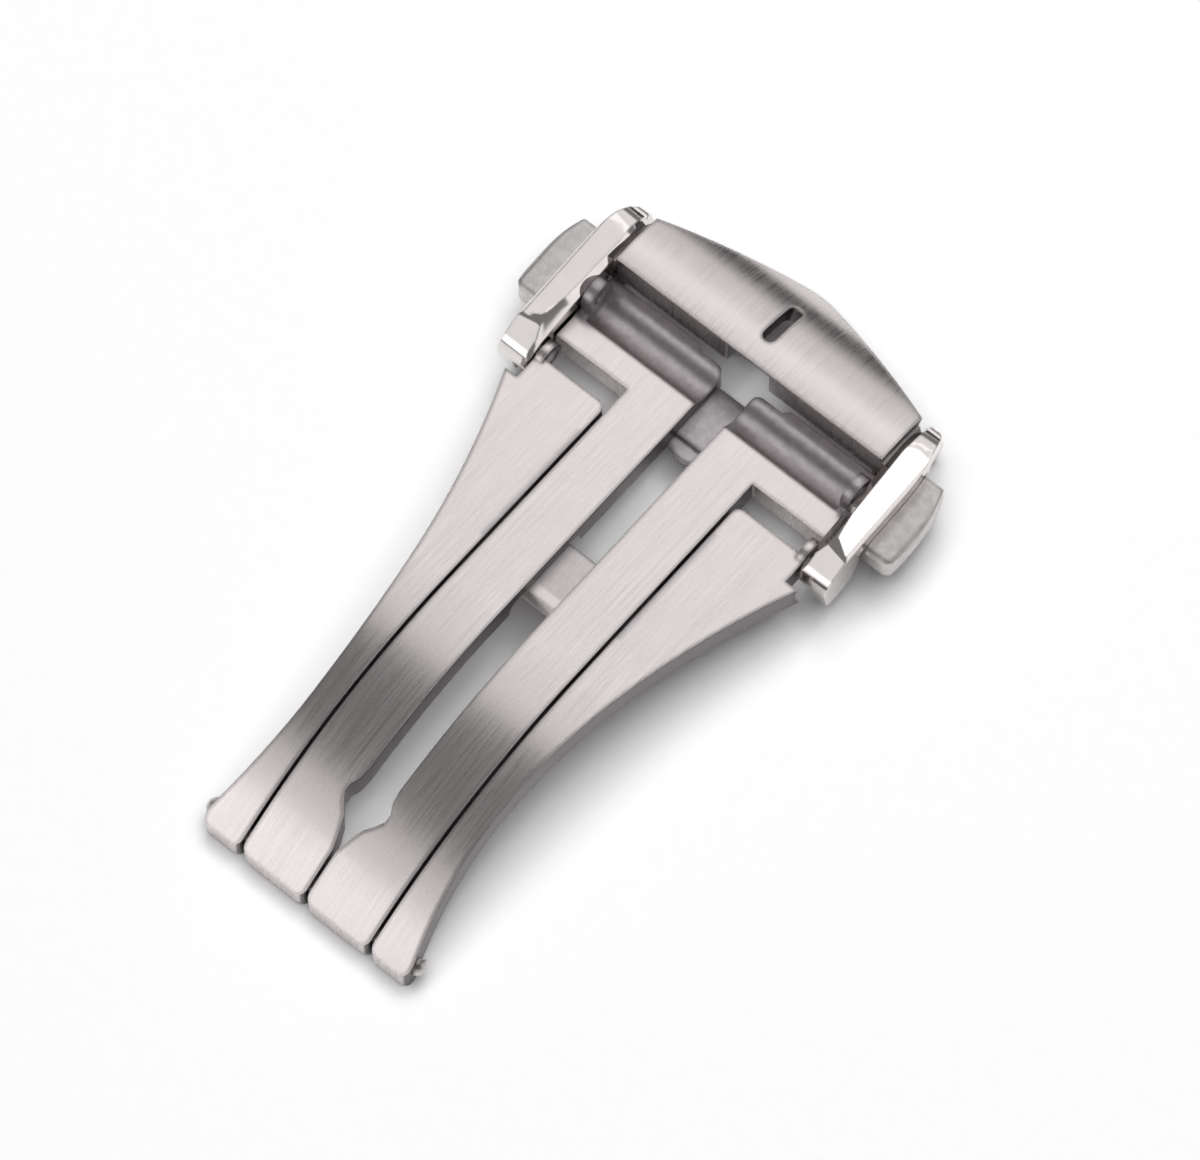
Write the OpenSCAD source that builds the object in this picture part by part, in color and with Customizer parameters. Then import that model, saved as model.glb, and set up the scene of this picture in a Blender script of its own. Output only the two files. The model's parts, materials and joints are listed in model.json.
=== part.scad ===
// Folding clasp for a watch strap, closed, as it lies on a table.
// All sizes are millimetres. The pieces are drawn in a design frame whose
// origin is the middle of the roof's front top edge: +X to the right cheek,
// +Y away from the fold, +Z away from the wrist. at_rest() then stands the
// clasp on its fold end and on the two cheek lobes.

/* [Strap and fits] */
// Width of the strap, which is also the width of the roof
strap_w = 18; // [17.5:0.1:19]
// Gap at each side between the roof's top and the cheeks
side_gap = 0.2; // [0.15:0.01:0.3]
// Gap at each side between the latch head and the cheeks
head_gap = 0.1; // [0.06:0.01:0.15]
// Side gap between neighbouring arms
arm_gap = 0.2; // [0.12:0.01:0.3]
// Radial clearance of a bore that turns or slides on its pin
run_gap = 0.04; // [0.03:0.005:0.06]
// Radial clearance of a bore that is pressed on its pin
press_gap = 0.01; // [0.005:0.001:0.015]
// Clearance round a push button and round a latch hook
slide_gap = 0.05; // [0.03:0.005:0.08]

/* [Roof] */
// Length of the roof along its sides
roof_side = 3.43; // [3.2:0.05:3.6]
// Length of the roof at its rounded point
roof_len = 6.26; // [5.8:0.02:6.5]
// Radius of the roof's curve over the strap
roof_r = 7.75; // [7.4:0.05:8.4]
// Thickness of the roof
roof_t = 1.1; // [0.9:0.05:1.3]
// Radius that rounds the roof's point
point_r = 2.2; // [1.6:0.1:3]
// Lean of the roof's far edge, so that it stands square to the curve
edge_lean = 40; // [34:1:46]
// Width of the slot in the roof
slot_w = 0.8; // [0.6:0.05:1.2]
// Length of the slot in the roof
slot_len = 3.1; // [2.4:0.1:3.4]
// Turn from the roof's front edge to the slot's middle, round the curve
slot_turn = 22; // [19:0.5:24]
// Height of the wall along the roof's front edge
front_h = 2.3; // [2.1:0.05:2.4]
// Thickness of that wall
front_t = 0.5; // [0.4:0.05:0.6]
// Width of the relief in the roof's front wall
relief_w = 2.8; // [2.4:0.1:3.4]
// Depth of that relief behind the front face
relief_d = 0.65; // [0.55:0.05:0.8]
// Height of front wall that stays above the relief
relief_top = 0.4; // [0.3:0.05:0.6]
// Depth of the roof's side tongues below its top
tongue_drop = 0.45; // [0.35:0.05:0.6]

/* [Cheeks] */
// Thickness of a cheek's inner plate
plate_t = 0.9; // [0.8:0.05:1.0]
// Thickness of a cheek's outer rim
rim_t = 1.0; // [0.9:0.05:1.1]
// Where the flat top of a cheek begins, toward the fold
top_near = -4.9; // [-5.1:0.05:-4.7]
// Where the flat top of a cheek ends
top_far = 1.0; // [0.6:0.05:1.2]
// Radius that carries the cheek's top down at its far end
far_r = 3.2; // [3:0.05:3.6]
// How far the cheek's far tip stands out past the roof's side
tip_over = 0.17; // [0.1:0.01:0.3]
// Radius of the far tip
tip_r = 0.5; // [0.4:0.02:0.6]
// Lowest point of the rim over the button
rim_low = -1.5; // [-1.55:0.01:-1.4]
// Fall of a cheek's top toward its outer side, in degrees
top_lean = 8; // [6:0.5:10]
// Width of the bevel along the cheek's inner side, at its middle
bevel_w = 0.4; // [0.3:0.02:0.5]
// Fall of that bevel, in degrees
bevel_fall = 25; // [20:1:28]
// Turn of its upper border away from the roof, in degrees
bevel_turn = 4.9; // [4:0.1:6]
// Radius of that border toward the fold, seen from above
oval_r = 14.4; // [12:0.2:17]
// Where the round part of that border begins
oval_y = -1.56; // [-2:0.02:-1.2]
// Where a cheek's outer side begins to curve in, toward the far end
side_y = -0.5; // [-0.8:0.05:-0.2]
// Radius of that curve
side_r = 11.3; // [10:0.1:13]
// Radius of the far outer corner
corner_out = 0.8; // [0.6:0.05:0.9]
// Height of the narrow bevel on the cheek's inner edge
inner_edge = 0.3; // [0.2:0.02:0.34]
// Width of the small bevel on the cheek's outer edge
edge_bevel = 0.16; // [0.1:0.01:0.22]

/* [Cover pivot] */
// Distance of the cover's pivot from the roof's front edge
pivot_back = 6.0; // [5.9:0.02:6.1]
// Depth of the pivot below the cheeks' top
pivot_drop = 2.1; // [2.0:0.02:2.2]
// Radius of the cheek's rounded end about the pivot
post_r = 1.3; // [1.2:0.02:1.35]
// Radius of the blade's ear about the pivot
lug_r = 0.95; // [0.85:0.01:0.98]
// Width of the blade's ear
lug_w = 0.5; // [0.45:0.05:0.7]
// Radius of a pivot pin
pivot_r = 0.5; // [0.4:0.02:0.55]
// How far the leg of the cheek reaches below the pivot
leg_len = 1.8; // [1.6:0.05:2.0]

/* [Blades] */
// Thickness of both blades
blade_t = 1.85; // [1.7:0.05:1.95]
// Radius of the blades' curve over the wrist
blade_r = 22.9; // [22.4:0.1:23.4]
// Distance of the curve's crown from the roof's front edge
crown_back = 21.9; // [21.5:0.1:22.3]
// Height of the blades' crown against the cheeks' top
crown_rise = 0; // [-0.1:0.02:0.1]
// Fall of the straight part toward the cover, in degrees
blade_fall = 6; // [5.5:0.1:6.5]
// Turn from the crown to the blades' folding end, in degrees
end_turn = 41.8; // [41:0.1:42.5]
// Radius on the corners of the folding end, seen from the side
end_round = 0.6; // [0.4:0.05:0.8]
// Radius on the corners of the folding end, seen from above
corner_r = 0.45; // [0.3:0.05:0.6]

/* [Outer blade] */
// Half width of the outer blade at its waist
waist_x = 5.9; // [5.7:0.05:6.1]
// Distance of the waist from the roof's front edge
waist_back = 28.5; // [28:0.1:29]
// Radius of the flare from the waist toward the cover
flare_r = 53.9; // [50:0.5:58]
// Radius of the flare from the waist toward the fold
tail_r = 27.3; // [25:0.5:30]
// Distance of the arms' end edge from the roof's front edge
arm_back = 6.35; // [6.2:0.05:6.5]
// Radius on the inner corner of the arms' end edge
arm_corner = 0.5; // [0.3:0.05:0.7]
// Depth of the cross bar's top below the arms' top
bar_drop = 1.0; // [0.95:0.02:1.1]
// Distance of the cross bar's near edge from the roof's front edge
bar_back = 17.3; // [17:0.1:17.6]
// Length of the cross bar along the blade
bar_len = 3.8; // [3.4:0.1:4.2]
// Bevel on the cross bar's near edge
bar_bevel = 0.3; // [0.2:0.02:0.4]

/* [Inner blade] */
// Half width of the slot between the inner arms
slit_x = 1.0; // [0.9:0.02:1.1]
// Half width over the inner arms
inner_x = 4.25; // [4.1:0.05:4.4]
// Half width of the slit that is left beside the fold
close_x = 0.1; // [0.08:0.01:0.14]
// Half width of the lozenge opening near the fold
gem_x = 1.35; // [1.15:0.05:1.5]
// Distance of the lozenge's widest point from the roof's front edge
gem_back = 31.2; // [31:0.1:31.4]
// Thickness that is left of an inner arm over the cross bar
bridge_t = 0.85; // [0.8:0.01:0.9]
// Room beside the cross bar in the inner arms' notch
notch_room = 1.0; // [0.8:0.05:1.2]
// Radius in the roof of that notch
notch_r = 0.65; // [0.4:0.05:0.65]
// Radius on the mouth of that notch
mouth_r = 0.25; // [0.15:0.01:0.28]

/* [Latch head] */
// Distance of the feet's front edge from the roof's front edge
foot_back = 4.85; // [4.8:0.01:4.92]
// Distance of the head's rear face from the roof's front edge
head_back = 0.25; // [0.2:0.01:0.3]
// Distance of the strap bar's hole from the roof's front edge
ear_back = 1.9; // [1.85:0.01:1.95]
// Depth of that hole below the cheeks' top
ear_drop = 1.0; // [0.95:0.01:1.1]
// Radius of the ears about that hole
ear_r = 0.95; // [0.85:0.01:1.0]
// Width of an ear
ear_w = 0.6; // [0.5:0.02:0.7]
// Radius of the holes for a strap bar's tips
tip_hole_r = 0.5; // [0.4:0.02:0.6]
// Radius of the hollow across the head, about the same hole
hollow_r = 1.55; // [1.5:0.01:1.6]
// Depth of the web between the wings below the blade's top
web_drop = 1.25; // [1.15:0.05:1.3]
// Distance of the web's front edge from the roof's front edge
web_back = 4.75; // [4.6:0.05:4.9]
// How far the web's lower nose reaches past that edge
nose_len = 1.0; // [0.7:0.05:1.2]
// Half width over which the wings' rear edge stands back
back_x = 3.1; // [2.8:0.05:3.4]
// How far it stands back there
back_in = 0.33; // [0.25:0.01:0.4]
// Radius on the wings' rear inner corners
wing_r = 0.6; // [0.4:0.05:0.8]

/* [Push buttons] */
// Travel of a button
travel = 0.7; // [0.6:0.02:0.75]
// Half width of the clasp over the buttons
button_x = 12.8; // [12.7:0.02:12.9]
// Width of a button's face along the cheek
button_w = 5.4; // [5.2:0.02:5.5]
// Distance of the button's near edge from the roof's front edge
button_back = 4.05; // [4:0.01:4.15]
// Height of a button
button_h = 1.8; // [1.7:0.02:1.85]
// Radius of the button's crowned face
crown_r = 10; // [8:0.5:14]
// Radius on the button's corners
button_r = 0.8; // [0.6:0.05:0.9]
// Radius on the button's long edges
edge_r = 0.35; // [0.2:0.05:0.45]
// Radius of a guide pin
guide_r = 0.4; // [0.36:0.01:0.42]
// Engagement of a guide pin in its button at rest
guide_in = 0.45; // [0.4:0.01:0.5]
// Radius of the spring's wire
wire_r = 0.06; // [0.05:0.005:0.07]
// Turns of a spring
coils = 4; // [3:1:4]

/* [Latch hooks] */
// Thickness of a hook
hook_t = 0.45; // [0.4:0.01:0.48]
// Width of the hook's stem
stem_w = 0.75; // [0.65:0.01:0.8]
// Width of the hook's nose
hook_nose = 0.6; // [0.55:0.01:0.62]
// Reach of the nose under the keeper
hook_reach = 0.5; // [0.4:0.01:0.52]
// Depth of the hook's top below the cheeks' top
hook_drop = 2.65; // [2.62:0.01:2.72]
// Depth of the hook's tang in the button
tang = 0.5; // [0.4:0.02:0.6]

/* [Cover lobes] */
// Distance of the cover's strap bar behind the roof's front edge
lobe_y = 2.5; // [2.4:0.02:2.6]
// Depth of that bar below the cheeks' top
lobe_drop = 3.8; // [3.7:0.02:3.9]
// Radius of the lobes round that bar
lobe_r = 1.5; // [1.4:0.02:1.6]

/* [Fold pin] */
// Radius of the fold pin
pin_r = 0.45; // [0.4:0.01:0.5]
// Distance of the pin from the folding end, along the blade
pin_in = 1.44; // [1.3:0.02:1.6]
// Radius of the pin's domed heads
dome_r = 0.55; // [0.5:0.01:0.6]
// Height of a domed head
dome_h = 0.36; // [0.3:0.02:0.4]

/* [Hidden] */
$fn = 64;
eps = 0.01;
// Faces that run smoothly into each other cross by this much
hair = 0.001;
far = 60;

// Widths that follow the strap
roof_x = strap_w / 2;
wall_x = roof_x + side_gap;
head_x = wall_x - head_gap;
plate_x = wall_x + plate_t;
cheek_x = plate_x + rim_t;
outer_in = inner_x + arm_gap;

// Points of the side view, as [y, z]
pivot = [-pivot_back, -pivot_drop];
lobe = [lobe_y, -lobe_drop];
ear = [-ear_back, -ear_drop];
arc = [-crown_back, crown_rise - blade_r];
tip_y = roof_side + tip_over;

// The folding end, where the corners are rounded
mid_r = blade_r - blade_t / 2;
end_flat = 0.3;
end_high = blade_r - hair;
end_low = blade_r - blade_t - 3 * hair;
round_turn = end_turn - (end_round + end_flat) / mid_r * 180 / PI;
pin_turn = end_turn - pin_in / mid_r * 180 / PI;
function on_arc(turn, r) = arc + r * [-sin(turn), cos(turn)];
pin = on_arc(pin_turn, mid_r);
function at_end(r) = on_arc(round_turn, r) - end_flat * [cos(round_turn), sin(round_turn)];
tip_top = at_end(end_high - end_round);
tip_low = at_end(end_low + end_round);

// Half width of the outer blade at y, along its two concave flares
function flare(y) = y > -waist_back
    ? waist_x + flare_r - sqrt(flare_r * flare_r - pow(y + waist_back, 2))
    : waist_x + tail_r - sqrt(tail_r * tail_r - pow(y + waist_back, 2));

// The pin's heads stand at a small gap from the outer blade's flattened sides
head_seat = 0.1;
pin_x = flare(pin[0]) + 0.1 + head_seat;

// The clasp lies on the rounded folding end and on the lobes: this is the
// tilt of the common tangent under those two circles
span = lobe - tip_low;
rest_tilt = asin((lobe_r - end_round) / norm(span)) - atan2(span[1], span[0]);
function tilted(p) = [p[0] * cos(rest_tilt) - p[1] * sin(rest_tilt),
                      p[0] * sin(rest_tilt) + p[1] * cos(rest_tilt)];
roof_drop = roof_r - sqrt(roof_r * roof_r - roof_len * roof_len);
y_low = min(tilted(tip_top)[0], tilted(tip_low)[0]) - end_round;
y_high = tilted([roof_len, -roof_drop])[0];
rest_y = -(y_low + y_high) / 2;
rest_z = lobe_r - tilted(lobe)[1];

// Places of the button, its pins and its hook
button_in = plate_x + travel + slide_gap;
button_y0 = -button_back;
button_y1 = button_y0 + button_w;
button_z1 = rim_low - slide_gap * 2;
button_z0 = button_z1 - button_h;
guide_z = (button_z0 + button_z1) / 2;
guide_ys = [button_y0 + 0.95, button_y0 + 3.15];
guide_end = button_in + guide_in;
bore_end = button_x - 0.4;
hook_y0 = slide_gap;
hook_y1 = hook_y0 + stem_w;
hook_z1 = -hook_drop;
hook_z0 = hook_z1 - hook_t;
nose_x0 = head_x - 0.15 - hook_nose;
nose_x1 = nose_x0 + hook_nose;

module at_rest() translate([0, rest_y, rest_z]) rotate([rest_tilt, 0, 0]) children();

module right_left(side) {
    if (side > 0) children();
    else mirror([1, 0, 0]) children();
}

// Carries a side view [y, z] from x0 to x1
module along_x(x0, x1) translate([x0, 0, 0]) rotate([90, 0, 90]) linear_extrude(x1 - x0) children();

// Carries a plan [x, y] through the whole height
module through_z(z0 = -far / 2, z1 = far / 2) translate([0, 0, z0]) linear_extrude(z1 - z0) children();

// A round bar along X about a point of the side view
module bar(p, r, x0, x1) translate([x0, p[0], p[1]]) rotate([0, 90, 0]) cylinder(r = r, h = x1 - x0);

// A rectangle from corner to corner
module span2(x0, y0, x1, y1) translate([x0, y0]) square([x1 - x0, y1 - y0]);

// A rectangle with four round corners
module soft2(x0, y0, x1, y1, r) {
    span2(x0 + r, y0, x1 - r, y1);
    span2(x0, y0 + r, x1, y1 - r);
    for (x = [x0 + r, x1 - r], y = [y0 + r, y1 - r]) translate([x, y]) circle(r);
}

// Side view of the blades between two depths under their top: an arc over
// the wrist, then a straight part that falls toward the cover
module shell2(d0, d1, turn) {
    top = blade_r - d0;
    low = blade_r - d1;
    stop = blade_fall + 0.75;
    translate(arc) {
        intersection() {
            difference() {
                circle(top, $fn = 180);
                circle(low, $fn = 180);
            }
            polygon([[0, 0], far * [-sin(turn), cos(turn)], far * [sin(stop), cos(stop)]]);
        }
        rotate(-blade_fall) polygon([[0.1, top - hair], [far, top - hair], [far, low - 3 * hair], [-0.6, low - 3 * hair]]);
    }
}

// The full section, with its rounded folding end
module blade2() {
    shell2(0, blade_t, round_turn + 0.62);
    translate(arc) rotate(round_turn) {
        polygon([[-end_flat, end_high], [0, end_high], [0.6, end_low], [-end_flat, end_low]]);
        for (r = [end_high - end_round, end_low + end_round]) translate([-end_flat, r]) circle(end_round);
        span2(-end_flat - end_round, end_low + end_round, 0, end_high - end_round);
    }
}

// What a round corner of the folding end leaves open, seen from above
module corner2(x, y, way) difference() {
    span2(min(x, x + way * corner_r) - (way > 0 ? 1 : 0), y - 1, max(x, x + way * corner_r) + (way < 0 ? 1 : 0), y + corner_r);
    translate([x + way * corner_r, y + corner_r]) circle(corner_r);
}

// Plan of the outer blade's right arm: straight inside, flared outside
module outer_arm2() {
    end_y = tip_low[0] - end_round - 0.05;
    tail = [for (i = [0:7]) let (y = end_y + i / 8 * (-waist_back - end_y)) [flare(y), y]];
    wing = [for (i = [0:24]) let (y = -waist_back + i / 24 * (waist_back - arm_back)) [flare(y), y]];
    difference() {
        polygon(concat([[outer_in, -arm_back - arm_corner], [outer_in, end_y]], tail, wing,
                       [[outer_in + arm_corner, -arm_back]]));
        span2(pin_x - head_seat, -far, far, -waist_back);
        for (x = [outer_in, pin_x - head_seat]) corner2(x, end_y, x > outer_in ? -1 : 1);
    }
    translate([outer_in + arm_corner, -arm_back - arm_corner]) circle(arm_corner);
}

module outer_blade() color("#b9b3b1") {
    difference() {
        union() {
            for (side = [-1, 1]) right_left(side) {
                intersection() {
                    along_x(0, 15) blade2();
                    through_z() outer_arm2();
                }
                bar(pivot, lug_r, head_x - lug_w, head_x);
            }
            intersection() {
                along_x(-outer_in - 0.5, outer_in + 0.5) shell2(bar_drop, blade_t, 0);
                through_z() span2(-15, -bar_back, 15, -bar_back + bar_len);
            }
        }
        bar(pin, pin_r + press_gap, -15, 15);
        for (side = [-1, 1]) right_left(side) {
            bar(pivot, norm([top_near, 0] - pivot) - 0.12, head_x, 15);
            bar(pivot, pivot_r + run_gap, head_x - lug_w - 1, 15);
        }
        // bevel along the cross bar's near edge
        translate([0, -bar_back, bar_top(-bar_back)]) rotate([45, 0, 0])
            cube([2 * outer_in, bar_bevel * sqrt(2), bar_bevel * sqrt(2)], center = true);
    }
}

// Height of the cross bar's top at y
function bar_top(y) = arc[1] + (blade_r - bar_drop) / cos(blade_fall) - (y - arc[0]) * tan(blade_fall);

// Plan of the inner blade's right arm with its foot and wing
module inner_arm2() {
    end_y = tip_low[0] - end_round - 0.05;
    difference() {
        union() {
            span2(close_x, end_y, inner_x, -foot_back + 0.1);
            span2(slit_x, -foot_back, head_x, -head_back - back_in - wing_r);
            span2(slit_x + wing_r, -foot_back, head_x, -head_back - back_in);
            polygon([[back_x, -head_back], [back_x - back_in, -head_back - back_in - eps], [head_x, -foot_back],
                     [head_x, -head_back]]);
            translate([slit_x + wing_r, -head_back - back_in - wing_r]) circle(wing_r);
        }
        corner2(close_x, end_y, 1);
        corner2(inner_x, end_y, -1);
        // the slot from the head to the lozenge
        span2(-1, -gem_back + 1.4, slit_x, -web_back + 0.5);
        // the lozenge: widest at gem_x, closing on the slit in a smooth sweep
        polygon([[0, -gem_back + 1.4], [slit_x, -gem_back + 1.4], [gem_x - 0.25, -gem_back + 0.75],
                 [gem_x, -gem_back + 0.25], [gem_x, -gem_back - 0.2], [gem_x - 0.3, -gem_back - 0.65],
                 [gem_x - 0.72, -gem_back - 1.15], [gem_x - 0.97, -gem_back - 1.8], [close_x, -gem_back - 2.7],
                 [0, -gem_back - 2.7]]);
    }
}

// Side view of the notch over the cross bar
module notch2() translate(arc) rotate(-blade_fall) {
    y0 = (crown_back - bar_back - notch_room) / cos(blade_fall) - blade_r * tan(blade_fall);
    y1 = y0 + (bar_len + 2 * notch_room) / cos(blade_fall);
    low = blade_r - blade_t - 3 * hair;
    soft2(y0, low - 2, y1, blade_r - bridge_t, notch_r);
    for (way = [-1, 1]) let (y = way < 0 ? y0 : y1) difference() {
        span2(min(y + way * mouth_r, y - way * 0.1), low - 1, max(y + way * mouth_r, y - way * 0.1), low + mouth_r);
        translate([y + way * mouth_r, low + mouth_r]) circle(mouth_r);
    }
}

module inner_blade() color("#c2bbb8") {
    difference() {
        union() {
            for (side = [-1, 1]) right_left(side) {
                intersection() {
                    along_x(0, head_x) blade2();
                    through_z() inner_arm2();
                }
                // ear for the strap bar, on its column
                along_x(head_x - ear_w, head_x) {
                    translate(ear) circle(ear_r);
                    span2(ear[0] - ear_r, -blade_t - 1.2, ear[0] + ear_r, ear[1]);
                }
            }
            // web between the wings, with a round nose below
            intersection() {
                along_x(-slit_x - eps, slit_x + eps) shell2(web_drop, blade_t, 0);
                through_z() span2(-2, -web_back, 2, -head_back - back_in - wing_r);
            }
            intersection() {
                along_x(-slit_x - eps, slit_x + eps) shell2(blade_t - 0.35, blade_t, 0);
                through_z() union() {
                    translate([0, -web_back + 0.4]) circle(nose_len + 0.4);
                    span2(-slit_x, -web_back - 0.1, slit_x, -web_back + 1);
                }
            }
        }
        bar(pin, pin_r + run_gap, -15, 15);
        for (side = [-1, 1]) right_left(side) {
            // hollow across the head, and the strap bar's hole
            bar(ear, hollow_r, slit_x - 0.5, head_x - ear_w);
            bar(ear, tip_hole_r, head_x - ear_w - 1, 15);
            // keeper groove, and the pocket that lets the nose out
            through_z(hook_z0 - slide_gap, hook_z1 + slide_gap)
                span2(nose_x0 - slide_gap, -hook_reach + hook_y0 - slide_gap * 2 - 0.25, 15, eps);
            through_z(-far / 2, hook_z1 + slide_gap)
                span2(nose_x0 - travel - slide_gap, -hook_reach + hook_y0 - slide_gap * 2 - 0.25,
                      nose_x0 - slide_gap + eps, eps);
        }
        // notch in both arms over the cross bar
        along_x(-inner_x - 1, inner_x + 1) notch2();
    }
}

module fold_pin() color("#8f8a88") {
    bar(pin, pin_r, -pin_x, pin_x);
    dome(-1);
}

module fold_pin_cap() color("#a5a09e") dome(1);

// A domed head that stands on the pin's end, on one side
module dome(side) {
    ball = (dome_r * dome_r + dome_h * dome_h) / (2 * dome_h);
    right_left(side) translate([pin_x, pin[0], pin[1]]) rotate([0, 90, 0]) intersection() {
        translate([0, 0, dome_h - ball]) sphere(ball);
        cylinder(r = dome_r, h = dome_h + 1);
    }
}

// Side view of a curved layer of the roof, from its front face on
module roof2(d0, d1) intersection() {
    translate([0, -roof_r]) difference() {
        circle(roof_r - d0, $fn = 120);
        circle(roof_r - d1, $fn = 120);
    }
    span2(0, -roof_r, roof_r + 1, 1);
}

// Reach of a point of the roof's top along the leaning far edge
function reach(y) = y * cos(edge_lean) + (roof_r - sqrt(roof_r * roof_r - y * y)) * sin(edge_lean);

// Outline of the roof's far edge: two straight sides and a round point
module far2() {
    top = reach(roof_len);
    corner = [roof_x, reach(roof_side)];
    t = touch([0, top - point_r], point_r, corner);
    side = corner + (corner - t) / (corner[0] - t[0]);
    polygon([[-side[0], -5], [side[0], -5], side, t, [-t[0], t[1]], [-side[0], side[1]]]);
    translate([0, top - point_r + hair]) circle(point_r, $fn = 180);
}

module roof() color("#aaa3a1") {
    difference() {
        intersection() {
            union() {
                along_x(-roof_x, roof_x) roof2(0, roof_t);
                along_x(-wall_x, wall_x) roof2(tongue_drop, roof_t);
                along_x(-wall_x, wall_x) span2(0, -front_h, front_t, -roof_t + 0.2);
            }
            rotate([-edge_lean, 0, 0]) through_z(-15, 15) far2();
        }
        // a plain straight slot with round ends
        translate([0, 0, -roof_r]) rotate([-slot_turn, 0, 0]) through_z(roof_r - roof_t - 1, roof_r + 1)
            soft2(-slot_w / 2, -slot_len / 2, slot_w / 2, slot_len / 2, slot_w / 2 - eps);
        // relief in the middle of the front wall
        through_z(-far / 2, -relief_top) soft2(-relief_w / 2, -2, relief_w / 2, relief_d, front_t - 0.05);
    }
}

// The point where a line from q touches the circle about p
function touch(p, r, q) = let (v = q - p, a = atan2(v[1], v[0]) + acos(r / norm(v))) p + r * [cos(a), sin(a)];

// Top contour that both layers of a cheek share, down to z = low
module crest2(low) {
    tip = [tip_y - tip_r, -far_r + sqrt(pow(far_r - tip_r, 2) - pow(tip_y - tip_r - top_far, 2))];
    polygon([pivot, touch(pivot, post_r, [top_near, 0]), [top_near, 0], [top_far, 0], [top_far, low], [top_near + 0.4, low]]);
    intersection() {
        translate([top_far, -far_r]) circle(far_r, $fn = 90);
        span2(top_far, low, tip[0], 1);
    }
    translate(tip) circle(tip_r);
    span2(tip[0] - 1, max(low, tip[1] - tip_r), tip[0], tip[1]);
    translate(pivot) circle(post_r);
}

// The leg under the pivot
module leg2() polygon([pivot + [-post_r, 0], pivot + [-post_r + 0.22, -leg_len + 0.25], pivot + [-post_r + 0.45, -leg_len],
                       pivot + [0.85, -leg_len + 0.05], pivot + [1.5, -0.65], pivot + [1.6, 0.6], pivot + [1.6, 1], pivot]);

// Plan of the rim: its outer side curves in toward the far end and its far
// corner is round
module rim_plan2() {
    mid = [cheek_x - side_r + hair, side_y];
    y = tip_y - corner_out;
    x = mid[0] + sqrt(pow(side_r - corner_out, 2) - pow(y - side_y, 2));
    top = side_y + (y - side_y) * side_r / (side_r - corner_out);
    span2(plate_x - 1, -far / 2, cheek_x, side_y);
    intersection() {
        translate(mid) circle(side_r, $fn = 360);
        span2(plate_x - 1, side_y - 1, cheek_x + 1, top);
    }
    translate([x - hair, y]) circle(corner_out + hair);
    span2(plate_x - 1, y - 1, x, tip_y);
}

// The cheek's inner edge: places, their depths and falls toward the fold
near_fall = tan(near_turn());
function near_turn() = let (t = touch(pivot, post_r, [top_near, 0])) atan2(-t[1], top_near - t[0]);
function round_depth(y) = (norm([oval_r * cos(bevel_turn - 1) + bevel_w, y - oval_y - oval_r * sin(bevel_turn - 1)])
    - oval_r) * tan(bevel_fall);
edge_ys = [top_far, (top_near + oval_y) / 2 - 1, top_near - 2];
edge_falls = [tan(bevel_fall) * tan(bevel_turn),
              (round_depth(edge_ys[1] - 1) - round_depth(edge_ys[1])), near_fall];
edge_zs = [(bevel_w - (top_far - oval_y) * tan(bevel_turn)) * tan(bevel_fall) * cos(bevel_turn),
           round_depth(edge_ys[1]), 2 * near_fall];

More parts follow.
